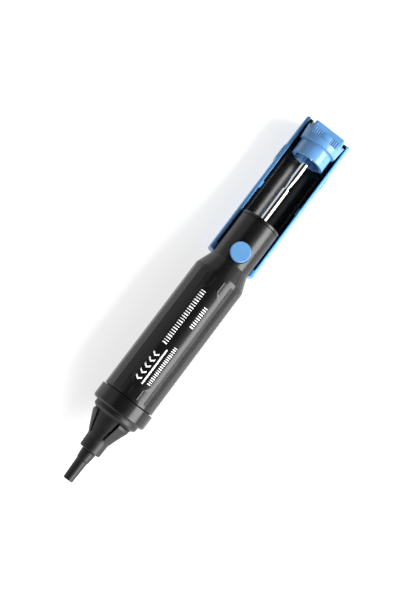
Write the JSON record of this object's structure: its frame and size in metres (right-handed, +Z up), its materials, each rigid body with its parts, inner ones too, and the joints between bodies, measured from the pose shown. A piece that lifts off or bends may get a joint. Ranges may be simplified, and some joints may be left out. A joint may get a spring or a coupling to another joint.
{
  "type": "desoldering pump",
  "caption": "Spring-loaded desoldering pump with a faceted grip barrel, slender nozzle, sliding plunger with thumb cap, side guard and release button.",
  "frame": {"origin": "middle of the pump's length, at the ground that it lies on", "axes": "+X along the pump from the nozzle to the thumb cap, +Z up through the release button"},
  "size_m": [0.196, 0.027, 0.027],
  "materials": {
    "black_abs": "satin moulded black ABS",
    "nozzle_ptfe": "satin black heat-resistant plastic",
    "blue_abs": "light blue moulded plastic, satin gloss",
    "guard_blue": "mid blue moulded plastic, satin gloss",
    "white_acetal": "natural white acetal",
    "rubber": "black nitrile rubber",
    "chromed_steel": "polished chrome plate",
    "spring_steel": "drawn spring steel",
    "brass": "machined brass"
  },
  "bodies": {
    "housing": {"barrel_housing": "black_abs", "plunger_guard": "guard_blue", "rod_bushing": "white_acetal", "rear_bumper": "rubber", "spring_seat_washer": "spring_steel", "main_spring": "spring_steel", "button_spring": "spring_steel"},
    "plunger": {"plunger_rod": "chromed_steel", "plunger_cap": "blue_abs", "piston": "white_acetal", "piston_seal_ring": "rubber", "piston_front_washer": "spring_steel", "piston_rear_washer": "spring_steel", "piston_nut": "brass", "cleaning_pin": "spring_steel"},
    "button": {"release_button": "blue_abs", "latch_plate": "spring_steel"},
    "nose": {"nose_cap": "black_abs", "nose_seal_ring": "rubber"},
    "collar": {"front_collar": "black_abs"},
    "nozzle": {"nozzle_tip": "nozzle_ptfe", "nozzle_seal_ring": "rubber"}
  },
  "joints": [
    {"name": "plunger_slide", "type": "slide", "parent": "housing", "child": "plunger", "axis": [-1, 0, 0], "range_m": [0, 0.0332], "stiffness_N_per_m": 450, "springref_m": -0.015, "deforming": ["main_spring"]},
    {"name": "button_press", "type": "slide", "parent": "housing", "child": "button", "axis": [0, 0, -1], "range_m": [0, 0.0015], "stiffness_N_per_m": 600, "springref_m": -0.0015, "deforming": ["button_spring"]},
    {"name": "nose_pull", "type": "slide", "parent": "housing", "child": "nose", "axis": [-1, 0, 0], "range_m": [0, 0.012]},
    {"name": "collar_turn", "type": "hinge", "parent": "nose", "child": "collar", "pos_m": [-0.057, 0, 0.0135], "axis": [1, 0, 0], "continuous": true},
    {"name": "nozzle_pull", "type": "slide", "parent": "nose", "child": "nozzle", "axis": [-1, 0, 0], "range_m": [0, 0.008]}
  ]
}
